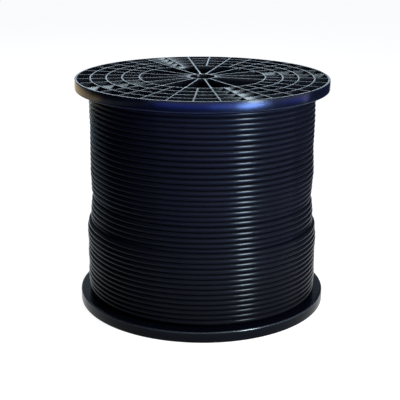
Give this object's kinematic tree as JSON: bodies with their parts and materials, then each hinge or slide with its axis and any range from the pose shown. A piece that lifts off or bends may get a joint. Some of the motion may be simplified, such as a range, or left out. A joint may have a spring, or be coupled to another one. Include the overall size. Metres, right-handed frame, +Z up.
{
  "type": "spool of cable",
  "caption": "Round cable wound in even turns on a lattice-flanged plastic reel that stands on its end, with a central spindle bore through both flanges.",
  "frame": {"origin": "centre of the foot, on the surface that the reel stands on", "axes": "+Z up along the reel's axis, X and Y across it, with -Y towards the camera of the picture"},
  "size_m": [0.33, 0.33, 0.3],
  "materials": {
    "reel_plastic": "glossy black injection-moulded plastic",
    "cable_jacket": "smooth black extruded cable jacket"
  },
  "bodies": {
    "root": {"top_flange": "reel_plastic", "bottom_flange": "reel_plastic", "barrel": "reel_plastic", "cable": "cable_jacket"}
  },
  "joints": []
}
